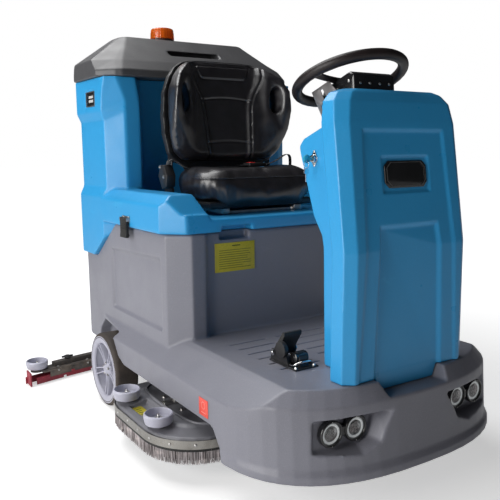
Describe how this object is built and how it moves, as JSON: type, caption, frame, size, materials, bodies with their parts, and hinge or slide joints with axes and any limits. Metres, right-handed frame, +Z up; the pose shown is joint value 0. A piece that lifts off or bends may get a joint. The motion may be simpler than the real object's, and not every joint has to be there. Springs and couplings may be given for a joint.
{
  "type": "ride-on floor scrubber",
  "caption": "Ride-on floor scrubber with tilting tank and seat, hinged lid, steered drive wheel, lifting brush deck and rear squeegee.",
  "frame": {"origin": "centre of the machine's plan, on the floor", "axes": "-Y to the front, -X to the machine's right, +Z up"},
  "size_m": [1.2674, 1.5556, 1.369],
  "materials": {
    "blue_plastic": "satin",
    "grey_plastic": "satin",
    "dark_plastic": "fine grain",
    "black_plastic": "satin",
    "black_vinyl": "glossy vinyl",
    "webbing": "woven",
    "black_rubber": "matte",
    "tyre_rubber": "matte",
    "pale_plastic": "satin",
    "red_rubber": "matte",
    "orange_lens": "glossy",
    "lamp_glass": "clear",
    "steel": "brushed",
    "chrome": "polished",
    "aluminium": "satin",
    "deck_plastic": "satin",
    "bristle": "fibrous",
    "dark_metal": "satin",
    "yellow_label": "printed",
    "red_label": "printed"
  },
  "bodies": {
    "chassis": {"lower_body": "grey_plastic", "front_cowl": "blue_plastic", "column_cover": "blue_plastic", "emblem_plate": "black_plastic", "key_switch": "chrome", "headlight_bezel_right": "black_plastic", "headlight_bezel_left": "black_plastic", "headlamp_right_a": "lamp_glass", "headlamp_right_b": "lamp_glass", "headlamp_left_a": "lamp_glass", "headlamp_left_b": "lamp_glass", "wall_label": "yellow_label", "side_label": "red_label", "battery_pack": "black_plastic", "rear_axle": "dark_metal", "pedal_base": "black_plastic", "tilt_bracket": "aluminium"},
    "tank": {"recovery_tank": "blue_plastic", "side_badge": "black_plastic", "latch_bracket": "steel", "seat_rails": "steel"},
    "lid": {"tank_lid": "dark_plastic", "beacon_base": "black_plastic", "beacon_lens": "orange_lens"},
    "latch": {"latch_strap": "black_rubber"},
    "seat": {"seat_pan": "black_plastic", "seat_cushion": "black_vinyl", "belt_retractor": "black_plastic", "belt_buckle": "black_plastic", "belt_strap": "webbing"},
    "backrest": {"backrest_shell": "black_plastic", "backrest_cushion": "black_vinyl"},
    "console": {"console": "black_plastic"},
    "steering": {"steering_wheel": "black_plastic"},
    "drive_unit": {"drive_fork": "dark_metal"},
    "drive_wheel": {"drive_wheel": "tyre_rubber"},
    "key": {"ignition_key": "blue_plastic", "spare_key": "chrome"},
    "pedal": {"accelerator_pedal": "black_plastic"},
    "wheel_right": {"rear_tyre_right": "tyre_rubber", "rear_rim_right": "pale_plastic"},
    "wheel_left": {"rear_tyre_left": "tyre_rubber", "rear_rim_left": "pale_plastic"},
    "brush_deck": {"deck_housing": "deck_plastic", "deck_band": "steel", "bristle_skirt": "bristle", "deck_label": "yellow_label"},
    "brush_right": {"brush_right": "bristle"},
    "brush_left": {"brush_left": "bristle"},
    "squeegee": {"squeegee_frame": "dark_metal", "blade_front": "red_rubber", "blade_rear": "red_rubber"},
    "deck_roller_right_front": {"deck_roller_right_front": "pale_plastic"},
    "deck_roller_right_rear": {"deck_roller_right_rear": "pale_plastic"},
    "squeegee_roller_right": {"squeegee_roller_right": "pale_plastic"},
    "deck_roller_left_front": {"deck_roller_left_front": "pale_plastic"},
    "deck_roller_left_rear": {"deck_roller_left_rear": "pale_plastic"},
    "squeegee_roller_left": {"squeegee_roller_left": "pale_plastic"}
  },
  "joints": [
    {"name": "tank_tilt", "type": "hinge", "parent": "chassis", "child": "tank", "pos_m": [0, 0.66325, 0.515], "axis": [1, 0, 0], "range_deg": [-40, 0]},
    {"name": "lid_hinge", "type": "hinge", "parent": "tank", "child": "lid", "pos_m": [0, 0.67125, 1.1524], "axis": [1, 0, 0], "range_deg": [-70, 0]},
    {"name": "latch_hinge", "type": "hinge", "parent": "tank", "child": "latch", "pos_m": [-0.4079, 0.17525, 0.676], "axis": [0, 1, 0], "range_deg": [0, 85]},
    {"name": "seat_slide", "type": "slide", "parent": "tank", "child": "seat", "axis": [0, -1, 0], "range_m": [0, 0.05]},
    {"name": "backrest_recline", "type": "hinge", "parent": "seat", "child": "backrest", "pos_m": [0, 0.23525, 0.8], "axis": [1, 0, 0], "range_deg": [0, 8]},
    {"name": "console_tilt", "type": "hinge", "parent": "chassis", "child": "console", "pos_m": [0, -0.47765, 1.00752], "axis": [1, 0, 0], "range_deg": [-5, 5]},
    {"name": "steering_spin", "type": "hinge", "parent": "console", "child": "steering", "pos_m": [0, -0.46275, 1.082], "axis": [0, 0.3486, 0.9373], "range_deg": [-272, 272]},
    {"name": "drive_steer", "type": "hinge", "parent": "chassis", "child": "drive_unit", "pos_m": [0, -0.51675, 0.095], "axis": [0, 0, 1], "range_deg": [-68, 68]},
    {"name": "drive_spin", "type": "hinge", "parent": "drive_unit", "child": "drive_wheel", "pos_m": [0, -0.51675, 0.095], "axis": [1, 0, 0], "continuous": true},
    {"name": "key_turn", "type": "hinge", "parent": "chassis", "child": "key", "pos_m": [-0.1606, -0.50275, 0.872], "axis": [1, 0, 0], "range_deg": [-80, 0]},
    {"name": "pedal_press", "type": "hinge", "parent": "chassis", "child": "pedal", "pos_m": [-0.204, -0.43675, 0.352], "axis": [1, 0, 0], "range_deg": [0, 14], "stiffness_Nm_per_rad": 1.2, "springref_deg": -20.05},
    {"name": "wheel_right_spin", "type": "hinge", "parent": "chassis", "child": "wheel_right", "pos_m": [-0.41, 0.31825, 0.13], "axis": [1, 0, 0], "continuous": true},
    {"name": "wheel_left_spin", "type": "hinge", "parent": "chassis", "child": "wheel_left", "pos_m": [0.41, 0.31825, 0.13], "axis": [1, 0, 0], "continuous": true},
    {"name": "deck_lift", "type": "slide", "parent": "chassis", "child": "brush_deck", "axis": [0, 0, 1], "range_m": [-0.054, 0]},
    {"name": "brush_right_spin", "type": "hinge", "parent": "brush_deck", "child": "brush_right", "pos_m": [-0.268, -0.13675, 0.08], "axis": [0, 0, 1], "continuous": true},
    {"name": "brush_left_spin", "type": "hinge", "parent": "brush_deck", "child": "brush_left", "pos_m": [0.268, -0.13675, 0.08], "axis": [0, 0, 1], "continuous": true},
    {"name": "squeegee_lift", "type": "hinge", "parent": "chassis", "child": "squeegee", "pos_m": [0, 0.50325, 0.15], "axis": [1, 0, 0], "range_deg": [0, 12]},
    {"name": "deck_roller_right_front_spin", "type": "hinge", "parent": "brush_deck", "child": "deck_roller_right_front", "pos_m": [-0.5, -0.24875, 0.16], "axis": [0, 0, 1], "continuous": true},
    {"name": "deck_roller_right_rear_spin", "type": "hinge", "parent": "brush_deck", "child": "deck_roller_right_rear", "pos_m": [-0.5, -0.02075, 0.16], "axis": [0, 0, 1], "continuous": true},
    {"name": "squeegee_roller_right_spin", "type": "hinge", "parent": "squeegee", "child": "squeegee_roller_right", "pos_m": [-0.584, 0.69525, 0.073], "axis": [0, 0, 1], "continuous": true},
    {"name": "deck_roller_left_front_spin", "type": "hinge", "parent": "brush_deck", "child": "deck_roller_left_front", "pos_m": [0.5, -0.24875, 0.16], "axis": [0, 0, 1], "continuous": true},
    {"name": "deck_roller_left_rear_spin", "type": "hinge", "parent": "brush_deck", "child": "deck_roller_left_rear", "pos_m": [0.5, -0.02075, 0.16], "axis": [0, 0, 1], "continuous": true},
    {"name": "squeegee_roller_left_spin", "type": "hinge", "parent": "squeegee", "child": "squeegee_roller_left", "pos_m": [0.584, 0.69525, 0.073], "axis": [0, 0, 1], "continuous": true}
  ],
  "couplings": [
    {"joint": "steering_spin", "follows": "drive_steer", "ratio": 4}
  ]
}
